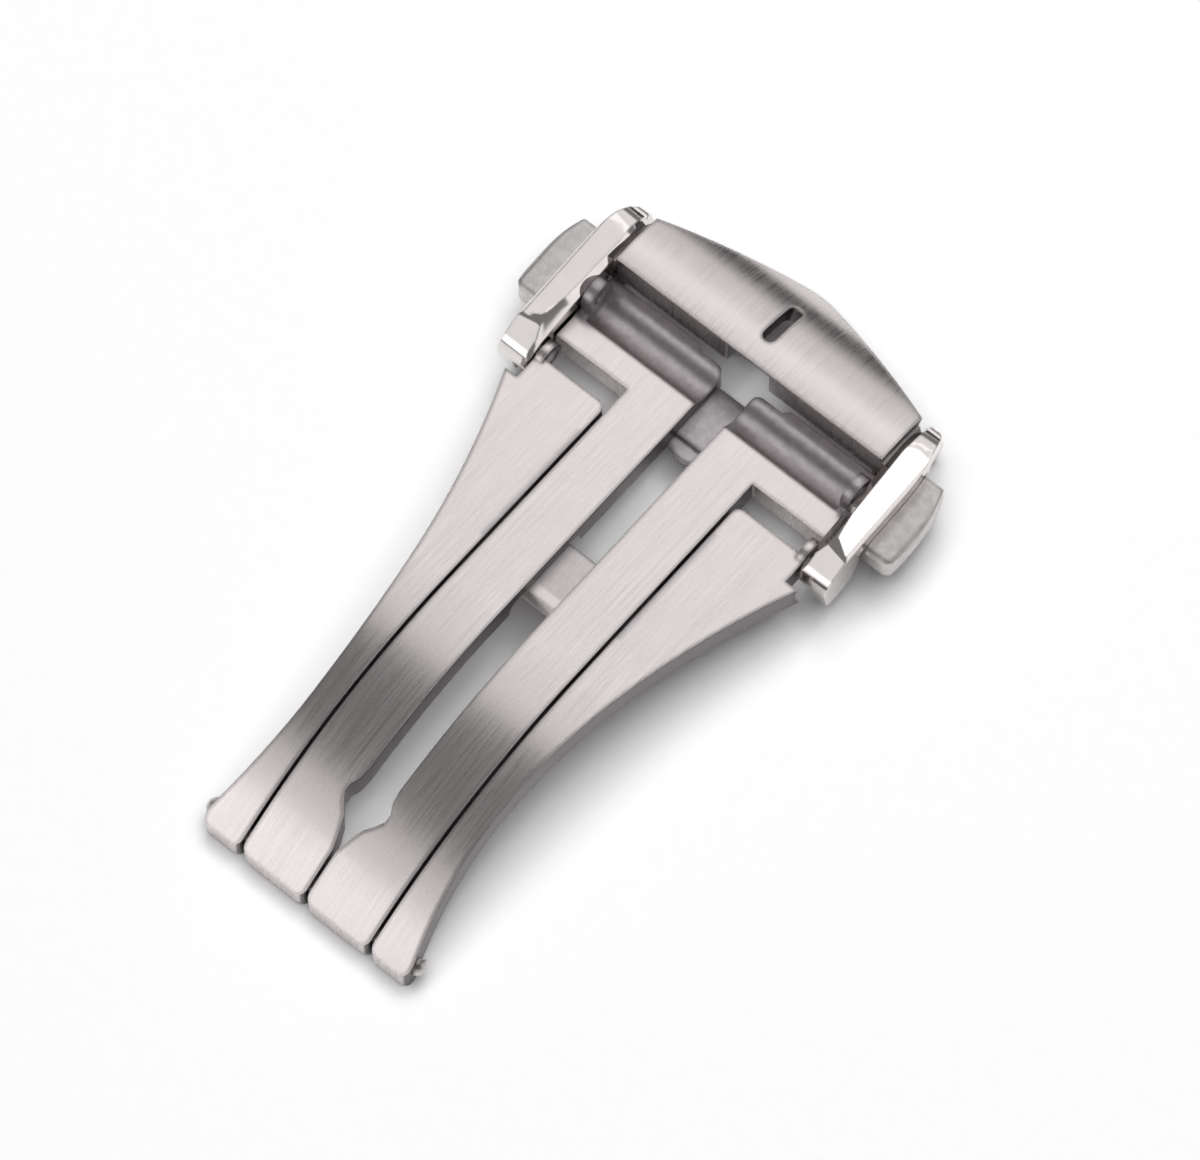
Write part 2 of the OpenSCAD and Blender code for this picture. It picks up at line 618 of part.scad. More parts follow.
module cheek(side) color("#d6d0cd") right_left(side) difference() {
    union() {
        along_x(wall_x, plate_x) {
            crest2(-2.4);
            translate(lobe) circle(lobe_r);
            polygon([pivot + [1.2, 0.8], [top_far, -1], lobe + [lobe_r, 0] + [-0.25, 0.6], lobe + [lobe_r, 0],
                     lobe + [-0.4, -lobe_r + 0.06], lobe + [-1.9, -lobe_r + 0.3], pivot + [3, -1.35], pivot + [1.2, -0.9]]);
        }
        intersection() {
            along_x(plate_x, cheek_x) {
                crest2(rim_low);
                leg2();
                polygon([[button_y1 + 0.1, rim_low + 0.5], [button_y1 + 1, rim_low + 0.5], [button_y1 + 0.3, rim_low - 0.5],
                         [button_y1 + 0.1, rim_low - 0.5]]);
            }
            through_z() rim_plan2();
        }
    }
    // the top leans outward; a bevel along its inner side widens toward the fold
    translate([wall_x, 0, 0]) rotate([0, top_lean, 0]) translate([0, -far / 2, 0]) cube([far, far, 4]);
    translate([wall_x + bevel_w, oval_y, 0]) rotate([0, 0, bevel_turn]) rotate([0, -bevel_fall, 0])
        translate([-6, -far / 2, 0]) cube([6, far, 4]);
    difference() {
        translate([wall_x - 1, -far / 2, -1.4]) cube([4, far / 2 + oval_y, 1.8]);
        translate([wall_x + bevel_w, oval_y, -3] + oval_r * [cos(bevel_turn - 1), sin(bevel_turn - 1), 0])
            cylinder(r1 = oval_r + 3 / tan(bevel_fall), r2 = oval_r - 2 / tan(bevel_fall), h = 5, $fn = 360);
    }
    // narrow bevel on the inner edge: along the top, the round border, the near
    // slope and the round far end
    for (i = [0:2]) translate([wall_x, edge_ys[i], -edge_zs[i] - inner_edge]) rotate([atan(edge_falls[i]), 0, 0])
        rotate([0, -45, 0]) translate([-5, -far / 2, 0]) cube([10, far, 4]);
    difference() {
        translate([wall_x - 1, top_far, -far_r]) cube([2, far, far_r + 1]);
        translate([wall_x - 1, top_far, -far_r]) rotate([0, 90, 0])
            cylinder(r1 = far_r - edge_zs[0] - inner_edge - 1, r2 = far_r - edge_zs[0] - inner_edge + 3, h = 4, $fn = 180);
    }
    // small bevel on the outer edge
    translate([cheek_x, 0, -edge_bevel - (cheek_x - wall_x) * tan(top_lean)]) rotate([0, 45, 0])
        translate([-5, -far / 2, 0]) cube([10, far, 4]);
    // button pocket, guide pin bores, hook slot, bar hole and pivot bore
    along_x(plate_x, cheek_x + 1)
        span2(button_y0 - slide_gap, button_z0 - slide_gap, button_y1 + slide_gap, button_z1 + slide_gap);
    for (y = guide_ys) bar([y, guide_z], guide_r + press_gap, wall_x - 1, plate_x + 1);
    along_x(wall_x - 1, plate_x + 1)
        span2(hook_y0 - slide_gap, hook_z0 - slide_gap, hook_y1 + slide_gap, hook_z1 + slide_gap);
    bar(lobe, tip_hole_r, wall_x - 1, plate_x + 1);
    bar(pivot, pivot_r + press_gap, wall_x - 1, cheek_x - 0.4);
}

module pivot_pin(side) color("#8f8a88") right_left(side) bar(pivot, pivot_r, head_x - lug_w, cheek_x - 0.4);

module button(side) color("#a59f9d") right_left(side) difference() {
    intersection() {
        through_z() union() {
            intersection() {
                soft2(button_in - 2, button_y0, button_x, button_y1, button_r);
                translate([button_x - crown_r, button_y0 + 0.35 * button_w]) circle(crown_r, $fn = 180);
            }
        }
        along_x(button_in, button_x + 1) soft2(button_y0, button_z0, button_y1, button_z1, edge_r);
        translate([0, far / 2, 0]) rotate([90, 0, 0]) linear_extrude(far)
            soft2(button_in - 2, button_z0, button_x, button_z1, edge_r);
    }
    for (y = guide_ys) bar([y, guide_z], guide_r + run_gap, button_in - 1, bore_end);
    along_x(button_in - 1, button_in + tang)
        span2(hook_y0 - press_gap, hook_z0 - press_gap, hook_y1 + press_gap, hook_z1 + press_gap);
}

// A flat hook: its stem passes through the cheek, its nose points to the fold
module hook(side) color("#8f8a88") right_left(side) through_z(hook_z0, hook_z1) {
    span2(nose_x0, hook_y0, button_in + tang, hook_y1);
    span2(nose_x0, -hook_reach - 0.25 + hook_y0, nose_x1, hook_y0 + eps);
}

module guide_pin(side, i) color("#8f8a88") right_left(side)
    bar([guide_ys[i], guide_z], guide_r, wall_x, guide_end);

// A coil spring in the blind bore between the pin's end and the button
coil_r = guide_r + run_gap - 0.06 - wire_r;
module spring(side, i) color("#d0cac6") right_left(side)
    translate([guide_end, guide_ys[i], guide_z]) rotate([0, 90, 0]) coil(bore_end - guide_end, coil_r, wire_r, coils);

// Rings of 6 points along a helix of n turns in height h
module coil(h, r, w, n) {
    steps = n * 14;
    sides = 6;
    pts = [for (i = [0:steps], j = [0:sides - 1])
        let (t = i / steps, a = 360 * n * t, b = 360 * j / sides, q = r + w * cos(b))
            [q * cos(a), q * sin(a), w + (h - 2 * w) * t + w * sin(b)]];
    walls = [for (i = [0:steps - 1], j = [0:sides - 1], k = [0, 1])
        let (a = i * sides + j, b = i * sides + (j + 1) % sides)
            k == 0 ? [a, b, b + sides] : [a, b + sides, a + sides]];
    caps = [[for (j = [sides - 1:-1:0]) j], [for (j = [0:sides - 1]) steps * sides + j]];
    polyhedron(points = pts, faces = concat(walls, caps));
}

at_rest() outer_blade();
at_rest() inner_blade();
at_rest() fold_pin();
at_rest() fold_pin_cap();
at_rest() roof();
at_rest() cheek(-1);  // cheek_left
at_rest() cheek(1);  // cheek_right
at_rest() pivot_pin(-1);  // pivot_pin_left
at_rest() pivot_pin(1);  // pivot_pin_right
at_rest() button(-1);  // button_left
at_rest() button(1);  // button_right
at_rest() hook(-1);  // hook_left
at_rest() hook(1);  // hook_right
at_rest() guide_pin(-1, 0);  // guide_pin_left_near
at_rest() guide_pin(-1, 1);  // guide_pin_left_far
at_rest() guide_pin(1, 0);  // guide_pin_right_near
at_rest() guide_pin(1, 1);  // guide_pin_right_far
at_rest() spring(-1, 0);  // spring_left_near
at_rest() spring(-1, 1);  // spring_left_far
at_rest() spring(1, 0);  // spring_right_near
at_rest() spring(1, 1);  // spring_right_far
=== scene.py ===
"""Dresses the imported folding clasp: worked copies of its pieces, brushed,
polished, blasted and cast steel finishes, and a pale studio table."""
import bmesh
import bpy
import json
import math

import numpy as np
from bpy.props import FloatProperty, FloatVectorProperty, PointerProperty
from mathutils import Matrix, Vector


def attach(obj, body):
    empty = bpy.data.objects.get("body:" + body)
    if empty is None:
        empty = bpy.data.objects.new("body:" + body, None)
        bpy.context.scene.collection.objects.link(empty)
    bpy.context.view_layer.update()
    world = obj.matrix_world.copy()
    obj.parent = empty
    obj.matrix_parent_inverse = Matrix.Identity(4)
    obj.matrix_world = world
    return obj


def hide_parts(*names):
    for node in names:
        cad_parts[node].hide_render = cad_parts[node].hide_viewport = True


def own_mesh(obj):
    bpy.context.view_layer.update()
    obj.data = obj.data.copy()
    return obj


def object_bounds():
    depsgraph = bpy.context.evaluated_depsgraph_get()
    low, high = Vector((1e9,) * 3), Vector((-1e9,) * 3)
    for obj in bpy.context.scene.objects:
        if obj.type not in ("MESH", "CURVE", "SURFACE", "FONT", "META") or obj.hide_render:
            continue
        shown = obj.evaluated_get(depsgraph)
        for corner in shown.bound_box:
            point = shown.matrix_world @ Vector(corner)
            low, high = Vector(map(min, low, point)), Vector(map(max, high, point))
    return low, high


bl_info = {
    "name": "Folding clasp dresser",
    "version": (1, 0, 0),
    "blender": (4, 5, 0),
    "location": "View3D > Sidebar > Clasp",
    "description": "Gives each piece of a folding strap clasp its worked edges and finish",
    "category": "Object",
}

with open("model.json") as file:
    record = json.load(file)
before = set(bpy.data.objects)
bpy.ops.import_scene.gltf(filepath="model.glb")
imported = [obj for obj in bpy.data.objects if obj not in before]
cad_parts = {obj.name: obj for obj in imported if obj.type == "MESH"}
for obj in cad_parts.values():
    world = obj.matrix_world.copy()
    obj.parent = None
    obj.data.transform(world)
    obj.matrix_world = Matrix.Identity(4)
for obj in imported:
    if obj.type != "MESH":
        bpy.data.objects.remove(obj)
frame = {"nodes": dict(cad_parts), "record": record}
NODES = frame["nodes"]
CAD_BOX = [list(corner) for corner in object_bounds()]
MM = 0.001
MICRON = 0.000001

# The middle of the spring bar in the latch head's ears, at rest, in metres
EAR_BAR = tuple(next(mount["pos_m"] for mount in frame["record"]["mounts"]
                     if mount["name"] == "head_bar_holes"))


# ---------------------------------------------------------------- settings

class SteelSettings(bpy.types.PropertyGroup):
    """Colours and finishes of the steel."""

    blade_tone: FloatVectorProperty(
        name="Brushed blades", subtype="COLOR", size=3, default=(0.70, 0.65, 0.645),
        description="Tone of the two brushed blades")
    roof_tone: FloatVectorProperty(
        name="Brushed roof", subtype="COLOR", size=3, default=(0.66, 0.615, 0.61),
        description="Tone of the brushed roof over the strap")
    cheek_tone: FloatVectorProperty(
        name="Polished cheeks", subtype="COLOR", size=3, default=(0.74, 0.70, 0.69),
        description="Tone of the polished cheeks")
    button_tone: FloatVectorProperty(
        name="Blasted buttons", subtype="COLOR", size=3, default=(0.58, 0.55, 0.545),
        description="Tone of the satin push buttons")
    # This tone also darkens the outer blade's low cross bar, where it is partly painted
    # shade
    cast_and_shade_tone: FloatVectorProperty(
        name="Cast hollow", subtype="COLOR", size=3, default=(0.44, 0.41, 0.42),
        description="Tone of the as-cast hollow and web of the latch head")
    # Painted shade: the dark colour of the sides stands for the dark reflection they show
    side_shade_tone: FloatVectorProperty(
        name="Sheared sides", subtype="COLOR", size=3, default=(0.17, 0.155, 0.16),
        description="Tone of the sides of the blades and the roof, as stamped")
    pin_tone: FloatVectorProperty(
        name="Turned pins", subtype="COLOR", size=3, default=(0.58, 0.55, 0.54),
        description="Tone of the turned pins, the hooks and the springs")
    streak_width: FloatProperty(
        name="Streak width", unit="LENGTH", default=0.000045, min=0.00001, max=0.0005,
        description="Width of one brush streak")
    streak_length: FloatProperty(
        name="Streak length", unit="LENGTH", default=0.0022, min=0.0002, max=0.02,
        description="Length of one brush streak")
    worked_edge: FloatProperty(
        name="Worked edge", unit="LENGTH", default=0.0001, min=0.0, max=0.0004,
        description="Most that the sharp edges are rounded; close points allow less")
    soft_edge: FloatProperty(
        name="Soft edge", unit="LENGTH", default=0.00035, min=0.0, max=0.001,
        description="Radius over which the finish blends around an edge")


class StudioSettings(bpy.types.PropertyGroup):
    """Camera, table and lamps."""

    camera_place: FloatVectorProperty(
        name="Camera", subtype="TRANSLATION", size=3,
        default=(0.098311, -0.098802, 0.405878),
        description="Where the camera stands")
    camera_turn: FloatVectorProperty(
        name="Camera turn", subtype="EULER", size=3,
        default=(math.radians(19.0691), math.radians(1.5883), math.radians(39.4443)),
        description="How the camera is turned")
    camera_lens: FloatProperty(
        name="Lens", default=244.26, min=20, max=500,
        description="Focal length in millimetres on a 36 mm sensor")
    table_tone: FloatVectorProperty(
        name="Table", subtype="COLOR", size=3, default=(0.93, 0.93, 0.93),
        description="Colour of the table")
    table_lift: FloatProperty(
        name="Table lift", default=2.0, min=1, max=3,
        description="How much lighter the table looks than it lights the clasp")
    table_light: FloatProperty(
        name="Table light", default=2.5, min=0, max=20,
        description="Full radiance for the lamps that light only the table")
    fill: FloatProperty(
        name="Fill", default=0.22, min=0, max=2,
        description="Strength of the even light that the steel sees all around")


# ---------------------------------------------------------------- wiring

class Wiring:
    """Short ways to place and join shader nodes in one tree."""

    def __init__(self, tree):
        self.tree = tree

    def add(self, kind, **values):
        node = self.tree.nodes.new("ShaderNode" + kind)
        for key, value in values.items():
            setattr(node, key, value)
        return node

    def join(self, source, target):
        self.tree.links.new(source, target)

    def feed(self, socket, value):
        """Joins a socket to its source, or sets its number or colour."""
        if isinstance(value, bpy.types.NodeSocket):
            self.join(value, socket)
        elif isinstance(value, (int, float)):
            socket.default_value = value
        else:
            socket.default_value = (*value, 1)

    def maths(self, operation, a, b=None, clamp=False):
        node = self.add("Math", operation=operation, use_clamp=clamp)
        self.feed(node.inputs[0], a)
        if b is not None:
            self.feed(node.inputs[1], b)
        return node.outputs[0]

    def times(self, a, b):
        return self.maths("MULTIPLY", a, b)

    def larger(self, a, b, clamp=False):
        return self.maths("MAXIMUM", a, b, clamp)

    def rest_of(self, value, clamp=False):
        """What a share leaves of 1."""
        return self.maths("SUBTRACT", 1.0, value, clamp)

    def vector_maths(self, operation, vector, other):
        """The outcome of an operation on a vector and a fixed one."""
        node = self.add("VectorMath", operation=operation)
        self.join(vector, node.inputs[0])
        node.inputs[1].default_value = other
        return node.outputs[0]

    def scaled(self, vector, factor):
        node = self.add("VectorMath", operation="SCALE")
        self.join(vector, node.inputs[0])
        self.join(factor, node.inputs["Scale"])
        return node.outputs[0]

    def length(self, vector):
        node = self.add("VectorMath", operation="LENGTH")
        self.join(vector, node.inputs[0])
        return node.outputs["Value"]

    def split(self, vector):
        """The three parts of a vector, by the names X, Y and Z."""
        node = self.add("SeparateXYZ")
        self.join(vector, node.inputs[0])
        return node.outputs

    def noise(self, vector, scale, detail, roughness=0.5):
        node = self.add("TexNoise")
        node.inputs["Scale"].default_value = scale
        node.inputs["Detail"].default_value = detail
        node.inputs["Roughness"].default_value = roughness
        self.join(vector, node.inputs["Vector"])
        return node.outputs["Fac"]

    def spread(self, value, low, high, out_low=0.0, out_high=1.0, smooth=True):
        kind = "SMOOTHSTEP" if smooth else "LINEAR"
        node = self.add("MapRange", interpolation_type=kind)
        node.inputs["From Min"].default_value = low
        node.inputs["From Max"].default_value = high
        node.inputs["To Min"].default_value = out_low
        node.inputs["To Max"].default_value = out_high
        self.join(value, node.inputs["Value"])
        return node.outputs["Result"]

    def between(self, share, low, high):
        """A straight line from low, at a share of 0, to high, at 1."""
        return self.spread(share, 0, 1, low, high, smooth=False)

    def below(self, value, low, high):
        """1 up to low, which fades to 0 at high."""
        return self.spread(value, low, high, 1.0, 0.0)

    def near_middle(self, value, low, high):
        """1 on both sides of 0, which fades to 0 from low to high."""
        return self.below(self.maths("ABSOLUTE", value), low, high)

    def blend(self, factor, a, b):
        """Mixes two colours, whose sockets are inputs 6 and 7 and output 2."""
        node = self.add("Mix", data_type="RGBA")
        self.feed(node.inputs["Factor"], factor)
        self.feed(node.inputs[6], a)
        self.feed(node.inputs[7], b)
        return node.outputs[2]


def tint(tone, share):
    """A tone made lighter or darker by a share."""
    return tuple(min(1.0, c * share) for c in tone)


def grey(value):
    return (value, value, value)


# ---------------------------------------------------------------- patterns

# Most noise lies between these values, which a mask stretches to 0 and 1
NOISE_SPAN = (0.3, 0.7)
PIT_SPAN = (0.35, 0.68)
FLECK_SPAN = (0.35, 0.65)

# Streaks of two sizes, as shares of the number that fit in a width or length
FINE_STREAKS, BROAD_STREAKS = 0.9, 0.26
FINE_SHARE = 0.6
CLOUDS_PER_METRE = 420
# The coarse pits of a grain, as a share of the number of its fine ones
PITS = 0.16
FLECKS_PER_METRE = 1500


def node_group(name, sizes, outputs):
    """An empty shader group that takes a place on the clasp and some sizes."""
    group = bpy.data.node_groups.new(name, "ShaderNodeTree")
    group.interface.new_socket("Place", in_out="INPUT", socket_type="NodeSocketVector")
    for label in sizes:
        group.interface.new_socket(label, in_out="INPUT", socket_type="NodeSocketFloat")
    for label in outputs:
        group.interface.new_socket(label, in_out="OUTPUT", socket_type="NodeSocketFloat")
    ins = group.nodes.new("NodeGroupInput").outputs
    outs = group.nodes.new("NodeGroupOutput").inputs
    return Wiring(group), ins, outs


def brushing_group():
    """Fine streaks along Y: noise whose cells are thin across and long along
    the brushing, in two sizes, plus slow cloudy changes of tone."""
    w, ins, outs = node_group(
        "Brushing", ("Width", "Length"), ("Streak", "Cloud", "Height"))
    across = w.maths("DIVIDE", 1.0, ins["Width"])

    def stretched(share):
        scale = w.add("CombineXYZ")
        w.join(w.times(across, share), scale.inputs["X"])
        along = w.maths("DIVIDE", share, ins["Length"])
        w.join(along, scale.inputs["Y"])
        w.join(along, scale.inputs["Z"])
        product = w.add("VectorMath", operation="MULTIPLY")
        w.join(ins["Place"], product.inputs[0])
        w.join(scale.outputs[0], product.inputs[1])
        return product.outputs[0]

    fine = w.noise(stretched(FINE_STREAKS), scale=1.0, detail=3.0, roughness=0.6)
    broad = w.noise(stretched(BROAD_STREAKS), scale=1.0, detail=2.0)
    streak = w.maths("ADD", w.times(fine, FINE_SHARE), w.times(broad, 1 - FINE_SHARE))
    w.join(w.spread(streak, *NOISE_SPAN), outs["Streak"])
    w.join(streak, outs["Height"])
    cloud = w.noise(ins["Place"], CLOUDS_PER_METRE, detail=3.0, roughness=0.55)
    w.join(w.spread(cloud, *NOISE_SPAN), outs["Cloud"])


def grain_group():
    """Even grain of a blasted or cast surface: fine noise and coarser pits."""
    w, ins, outs = node_group("Grain", ("Size",), ("Grain", "Mottle", "Height"))
    place = w.scaled(ins["Place"], w.maths("DIVIDE", 1.0, ins["Size"]))
    fine = w.noise(place, scale=1.0, detail=3.0, roughness=0.6)
    coarse = w.noise(place, PITS, detail=4.0, roughness=0.6)
    w.join(w.spread(fine, *NOISE_SPAN), outs["Grain"])
    w.join(w.spread(coarse, *PIT_SPAN), outs["Mottle"])
    w.join(w.maths("ADD", w.times(fine, 0.5), w.times(coarse, 0.5)), outs["Height"])


# ---------------------------------------------------------------- finishes

# Brushed steel: its darkest and lightest streaks, and its clouds, as tints
STREAK_TINTS = (0.83, 1.09)
CLOUD_TINT, CLOUD_SHARE = 0.9, 0.35
BRUSH_ANISOTROPY = 0.55
BLADE_ROUGHNESS = (0.22, 0.36)
ROOF_ROUGHNESS = (0.24, 0.36)
# The X of its normal at which a face begins to be a side, and is one. Sides get plain
# gloss and a dark colour that is painted shade, standing for the dark reflection they show
SHADED_SIDE_FACING = (0.45, 0.75)
SIDE_ROUGHNESS = 0.34

# Cast steel
CAST_TINTS = (0.98, 1.18)
CAST_GRAIN = 70 * MICRON
CAST_ROUGHNESS = 0.42

# Where the latch head stays as cast, in metres from the spring bar's middle:
# around its line, and then across, along and up the clasp
HOLLOW_REACH = (1.52 * MM, 1.68 * MM)
WEB_HALF_WIDTH = (0.95 * MM, 1.02 * MM)
WEB_NEAR_END = (-8.0 * MM, -7.6 * MM)
WEB_TOP = (-0.3 * MM, 0.2 * MM)
HEAD_REAR = (0.6 * MM, 0.9 * MM)

# The low cross bar of the outer blade, in metres, and the share of the cast look it gets:
# an unbrushed grain, and painted shade that darkens it because it lies low
BAR_HALF_WIDTH = (4.6 * MM, 4.9 * MM)
BAR_NEAR_SIDE = (-1.0 * MM, -0.8 * MM)
BAR_FAR_SIDE = (7.0 * MM, 7.2 * MM)
BAR_SHADE_AND_DULLNESS = 0.6


class SteelFinish(Wiring):
    """A metallic material with its Principled shader, ready for its masks."""

    def __init__(self, name, anisotropy=0.0):
        self.material = bpy.data.materials.new(name)
        self.material.use_nodes = True
        super().__init__(self.material.node_tree)
        self.shader = self.tree.nodes["Principled BSDF"]
        self.shader.inputs["Metallic"].default_value = 1.0
        if anisotropy:
            self.shader.inputs["Anisotropic"].default_value = anisotropy
            tangent = self.add("Tangent", direction_type="UV_MAP", uv_map="Brush")
            self.join(tangent.outputs[0], self.shader.inputs["Tangent"])
        coordinates = self.add("TexCoord")
        self.place = coordinates.outputs["Object"]
        self.normal = coordinates.outputs["Normal"]

    def pattern(self, group, **sizes):
        """What a group gives when it is laid on the clasp in these sizes."""
        node = self.add("Group", node_tree=bpy.data.node_groups[group])
        self.join(self.place, node.inputs["Place"])
        for name, size in sizes.items():
            node.inputs[name].default_value = size
        return node.outputs

    def coat(self, colour, gloss, height, strength, depth, soft=1.0):
        """Gives the shader its colour, gloss and relief, and softens edges."""
        self.join(colour, self.shader.inputs["Base Color"])
        self.join(gloss, self.shader.inputs["Roughness"])
        relief = self.add("Bump")
        relief.inputs["Strength"].default_value = strength
        relief.inputs["Distance"].default_value = depth
        self.join(height, relief.inputs["Height"])
        edge = self.add("Bevel", samples=4)
        radius = bpy.context.scene.clasp_steel.soft_edge * soft
        edge.inputs["Radius"].default_value = radius
        self.join(edge.outputs[0], relief.inputs["Normal"])
        self.join(relief.outputs[0], self.shader.inputs["Normal"])
        return self.material


def brushed_steel(name, tone, rough, settings, cast_and_shade_places=None):
    """Steel brushed along the clasp: tone, gloss and relief follow the
    streaks. Sides are plain, and their dark colour is painted shade that
    stands for the dark reflection they show. Where cast_and_shade_places
    gives 1, the dull grain of the casting is left; on the low cross bar its
    darker colour is also painted shade."""
    w = SteelFinish(name, BRUSH_ANISOTROPY)
    brush = w.pattern("Brushing", Width=settings.streak_width,
                      Length=settings.streak_length)
    darkest, lightest = (tint(tone, share) for share in STREAK_TINTS)
    colour = w.blend(brush["Streak"], darkest, lightest)
    cloud = w.times(brush["Cloud"], CLOUD_SHARE)
    colour = w.blend(cloud, colour, tint(tone, CLOUD_TINT))
    # Painted shade: faces turned to the side get a dark colour standing for the dark
    # reflection there, with plain gloss and no streaks
    side = w.spread(w.maths("ABSOLUTE", w.split(w.normal)["X"]), *SHADED_SIDE_FACING)
    colour = w.blend(side, colour, settings.side_shade_tone)
    gloss = w.blend(side, w.between(brush["Streak"], *rough), grey(SIDE_ROUGHNESS))
    height = w.times(brush["Height"], w.rest_of(side))
    # On the latch head the cast grain is its own finish; on the low cross bar its darker
    # colour is also painted shade
    if cast_and_shade_places:
        cast = cast_and_shade_places(w)
        grain = w.pattern("Grain", Size=CAST_GRAIN)
        smooth, pitted = (tint(settings.cast_and_shade_tone, share) for share in CAST_TINTS)
        colour = w.blend(cast, colour, w.blend(grain["Mottle"], smooth, pitted))
        gloss = w.blend(cast, gloss, grey(CAST_ROUGHNESS))
        height = w.times(w.rest_of(cast), height)
    return w.coat(colour, gloss, height, strength=0.5, depth=2 * MICRON)


def shaded_cross_bar(w):
    """1 on the outer blade's low cross bar, which no brush reaches well, at a share. Its
    darker colour is also painted shade, since the bar lies low.
    """
    place = w.split(w.place)
    inside = w.near_middle(place["X"], *BAR_HALF_WIDTH)
    middle = w.times(w.spread(place["Y"], *BAR_NEAR_SIDE),
                     w.below(place["Y"], *BAR_FAR_SIDE))
    return w.times(w.times(inside, middle), BAR_SHADE_AND_DULLNESS)


def latch_head(w):
    """1 in the latch head's hollow, on its web and at its rear."""
    apart = w.vector_maths("SUBTRACT", w.place, EAR_BAR)
    reach = w.length(w.vector_maths("MULTIPLY", apart, (0, 1, 1)))
    hollow = w.below(reach, *HOLLOW_REACH)
    apart = w.split(apart)
    inside = w.near_middle(apart["X"], *WEB_HALF_WIDTH)
    web = w.times(w.times(inside, w.spread(apart["Y"], *WEB_NEAR_END)),
                  w.below(apart["Z"], *WEB_TOP))
    rear = w.spread(apart["Y"], *HEAD_REAR)
    return w.larger(w.larger(hollow, web), rear, clamp=True)


def polished_steel(name, tone):
    """Mirror polish with faint wiping marks and a little haze."""
    w = SteelFinish(name)
    grain = w.pattern("Grain", Size=400 * MICRON)
    colour = w.blend(grain["Mottle"], tone, tint(tone, 0.95))
    haze = w.between(grain["Mottle"], low=0.06, high=0.11)
    return w.coat(colour, haze, grain["Height"], strength=0.12, depth=4 * MICRON, soft=0.4)


def grained_steel(name, tone, size, rough, strength):
    """Blasted or turned steel with an even grain."""
    w = SteelFinish(name)
    grain = w.pattern("Grain", Size=size)
    colour = w.blend(grain["Mottle"], tint(tone, 0.9), tint(tone, 1.08))
    gloss = w.between(grain["Grain"], *rough)
    return w.coat(colour, gloss, grain["Height"], strength, depth=4 * MICRON)


def turned_steel(settings):
    """The turned steel that hooks and pins share."""
    name = "Turned pin"
    return bpy.data.materials.get(name) or grained_steel(
        name, settings.pin_tone, size=100 * MICRON, rough=(0.2, 0.32), strength=0.2)


# ---------------------------------------------------------------- pieces

# Points closer than this are one, before and after the rounding, in millimetres
WELD = 0.001
ROUNDED_WELD = 0.00001
# Faces that turn by less than this are one, in degrees
FLAT = 0.5
# Edges that turn by more than this are sharp, in degrees
SHARP = 32
ROUNDING_STEPS = 3


def points_of(mesh):
    """The places of a mesh's vertices, one row each."""
    points = np.empty(len(mesh.vertices) * 3, dtype=np.float32)
    mesh.vertices.foreach_get("co", points)
    return points.reshape(-1, 3)


def lay_brush_map(mesh):
    """A map whose first axis lies across the brushing: u = x + z / 2 and
    v = y + z / 3, in units of 10 mm, so that no face of the clasp is edge-on."""
    corners = np.empty(len(mesh.loops), dtype=np.int32)
    mesh.loops.foreach_get("vertex_index", corners)
    x, y, z = points_of(mesh)[corners].T * 100
    uv = np.column_stack([x + z / 2, y + z / 3]).astype(np.float32)
    layer = mesh.uv_layers.new(name="Brush")
    layer.data.foreach_set("uv", uv.ravel())


def rounded(mesh, width, sharp):
    """The mesh with its sharp edges rounded, worked out in millimetres, and
    shaded so that flat faces look flat. With no width, edges stay sharp."""
    holder = bpy.data.objects.new("Rounding", mesh)
    bpy.context.scene.collection.objects.link(holder)
    if width:
        bevel = holder.modifiers.new("Worked edges", "BEVEL")
        bevel.width = width
        bevel.segments = ROUNDING_STEPS
        bevel.limit_method = "ANGLE"
        bevel.angle_limit = math.radians(sharp)
        bevel.face_strength_mode = "FSTR_ALL"
        weld = holder.modifiers.new("Joined points", "WELD")
        weld.merge_threshold = ROUNDED_WELD
    weighted = holder.modifiers.new("Even shading", "WEIGHTED_NORMAL")
    weighted.use_face_influence = True
    weighted.keep_sharp = not width
    depsgraph = bpy.context.evaluated_depsgraph_get()
    done = bpy.data.meshes.new_from_object(holder.evaluated_get(depsgraph),
                                           depsgraph=depsgraph)
    bpy.data.objects.remove(holder)
    return done


def body_of(node):
    bodies = frame["record"]["behaviour"]["bodies"]
    return next(body for body, nodes in bodies.items() if node in nodes)


